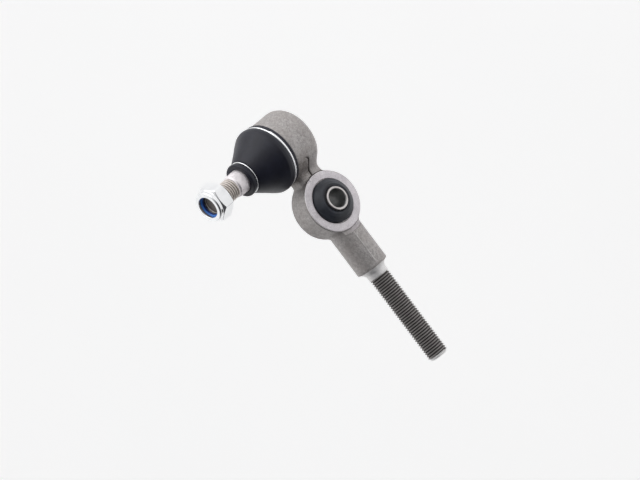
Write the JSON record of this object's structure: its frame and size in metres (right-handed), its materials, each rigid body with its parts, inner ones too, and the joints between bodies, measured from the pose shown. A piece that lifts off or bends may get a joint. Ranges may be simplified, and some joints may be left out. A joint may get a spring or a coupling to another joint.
{
  "type": "tie rod end",
  "caption": "Forged steering tie rod end: ball joint with boot and lock nut, rubber bush in its eye, and a threaded spindle.",
  "frame": {"origin": "where the spindle axis crosses the bush axis, at the middle of the bush", "axes": "+X along the spindle to its threaded end, +Y along the bush axis, +Z along the ball stud from the ball to the nut"},
  "size_m": [0.1637, 0.0402, 0.0828],
  "materials": {
    "forged_steel": "as forged and shot-blasted, matte, machined on the eye faces and thread",
    "stud_steel": "ground taper, rolled thread",
    "seat_plastic": "moulded",
    "spring_steel": "hardened",
    "cover_steel": "pressed sheet",
    "boot_rubber": "satin",
    "ring_steel": "bright spring wire",
    "zinc_plate": "bright zinc",
    "insert_nylon": "satin",
    "sleeve_steel": "turned",
    "bush_rubber": "satin"
  },
  "bodies": {
    "forging": {"forged_body": "forged_steel", "cover_plate": "cover_steel", "preload_spring": "spring_steel", "boot_ring_large": "ring_steel", "bush_outer_sleeve": "sleeve_steel", "bush_rubber": "bush_rubber"},
    "ball_seat": {"seat_upper": "seat_plastic", "seat_lower": "seat_plastic", "dust_boot": "boot_rubber"},
    "boot_end": {"boot_ring_small": "ring_steel"},
    "stud": {"ball_stud": "stud_steel"},
    "nut_carrier": {"nut_insert": "insert_nylon"},
    "nut": {"lock_nut": "zinc_plate"},
    "bush_sleeve": {"bush_inner_sleeve": "sleeve_steel"}
  },
  "joints": [
    {"name": "swing_direction", "type": "hinge", "parent": "forging", "child": "ball_seat", "pos_m": [-0.04, 0, 0], "axis": [0, 0, 1], "continuous": true},
    {"name": "stud_swing", "type": "hinge", "parent": "ball_seat", "child": "boot_end", "pos_m": [-0.04, 0, 0], "axis": [0, 1, 0], "range_deg": [-25, 25], "deforming": ["dust_boot"]},
    {"name": "stud_spin", "type": "hinge", "parent": "boot_end", "child": "stud", "pos_m": [-0.04, 0, 0], "axis": [0, 0, 1], "continuous": true},
    {"name": "nut_travel", "type": "slide", "parent": "stud", "child": "nut_carrier", "axis": [0, 0, 1], "range_m": [0, 0.0075]},
    {"name": "nut_turn", "type": "hinge", "parent": "nut_carrier", "child": "nut", "pos_m": [-0.04, 0, 0], "axis": [0, 0, 1], "range_deg": [0, 1800]},
    {"name": "bush_twist", "type": "hinge", "parent": "forging", "child": "bush_sleeve", "pos_m": [0, 0, 0], "axis": [0, 1, 0], "range_deg": [-15, 15], "stiffness_Nm_per_rad": 1}
  ],
  "couplings": [
    {"joint": "nut_turn", "follows": "nut_travel", "rad_per_m": 4188.8}
  ]
}
